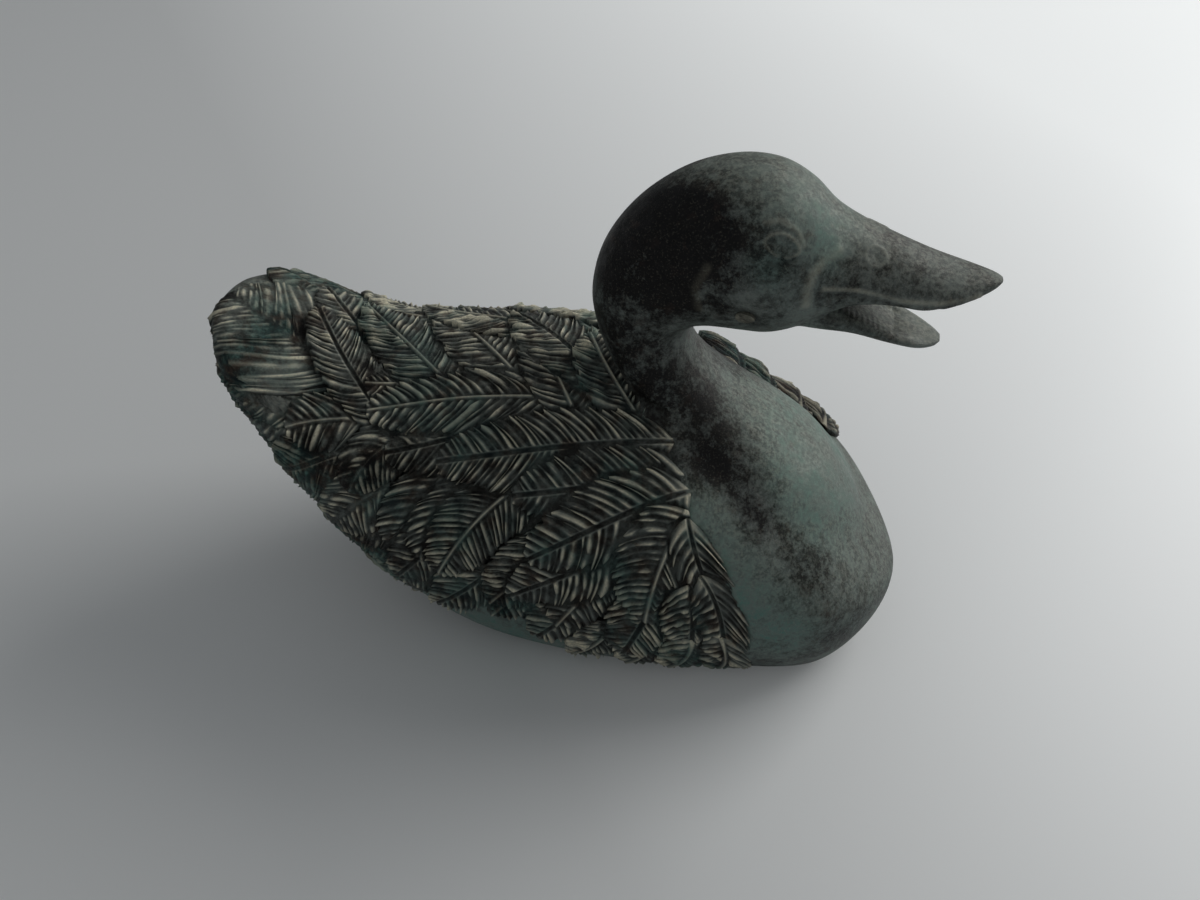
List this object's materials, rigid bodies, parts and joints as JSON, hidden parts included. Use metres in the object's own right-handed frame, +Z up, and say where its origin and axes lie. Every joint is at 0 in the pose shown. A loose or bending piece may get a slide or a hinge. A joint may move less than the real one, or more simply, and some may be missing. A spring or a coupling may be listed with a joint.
{
  "type": "bronze duck figurine",
  "caption": "Small patinated cast bronze duck at rest with an open bill, smooth neck and breast, and overlapping chased feathers on its back, sides and tail.",
  "frame": {"origin": "middle of the duck's length and width, on the surface it rests on", "axes": "+X the way the duck faces, +Y to its left, +Z up"},
  "size_m": [0.1198, 0.058, 0.0845],
  "materials": {
    "patina": "dark bronze with grey-green patina, satin",
    "bare_bronze": "dull bare bronze, satin"
  },
  "bodies": {
    "root": {"body_casting": "patina", "front_casting": "patina", "lower_bill": "patina", "base_plate": "bare_bronze", "cheek_plug_right": "bare_bronze", "cheek_plug_left": "bare_bronze", "flank_plug_right": "patina", "flank_plug_left": "patina"}
  },
  "joints": []
}
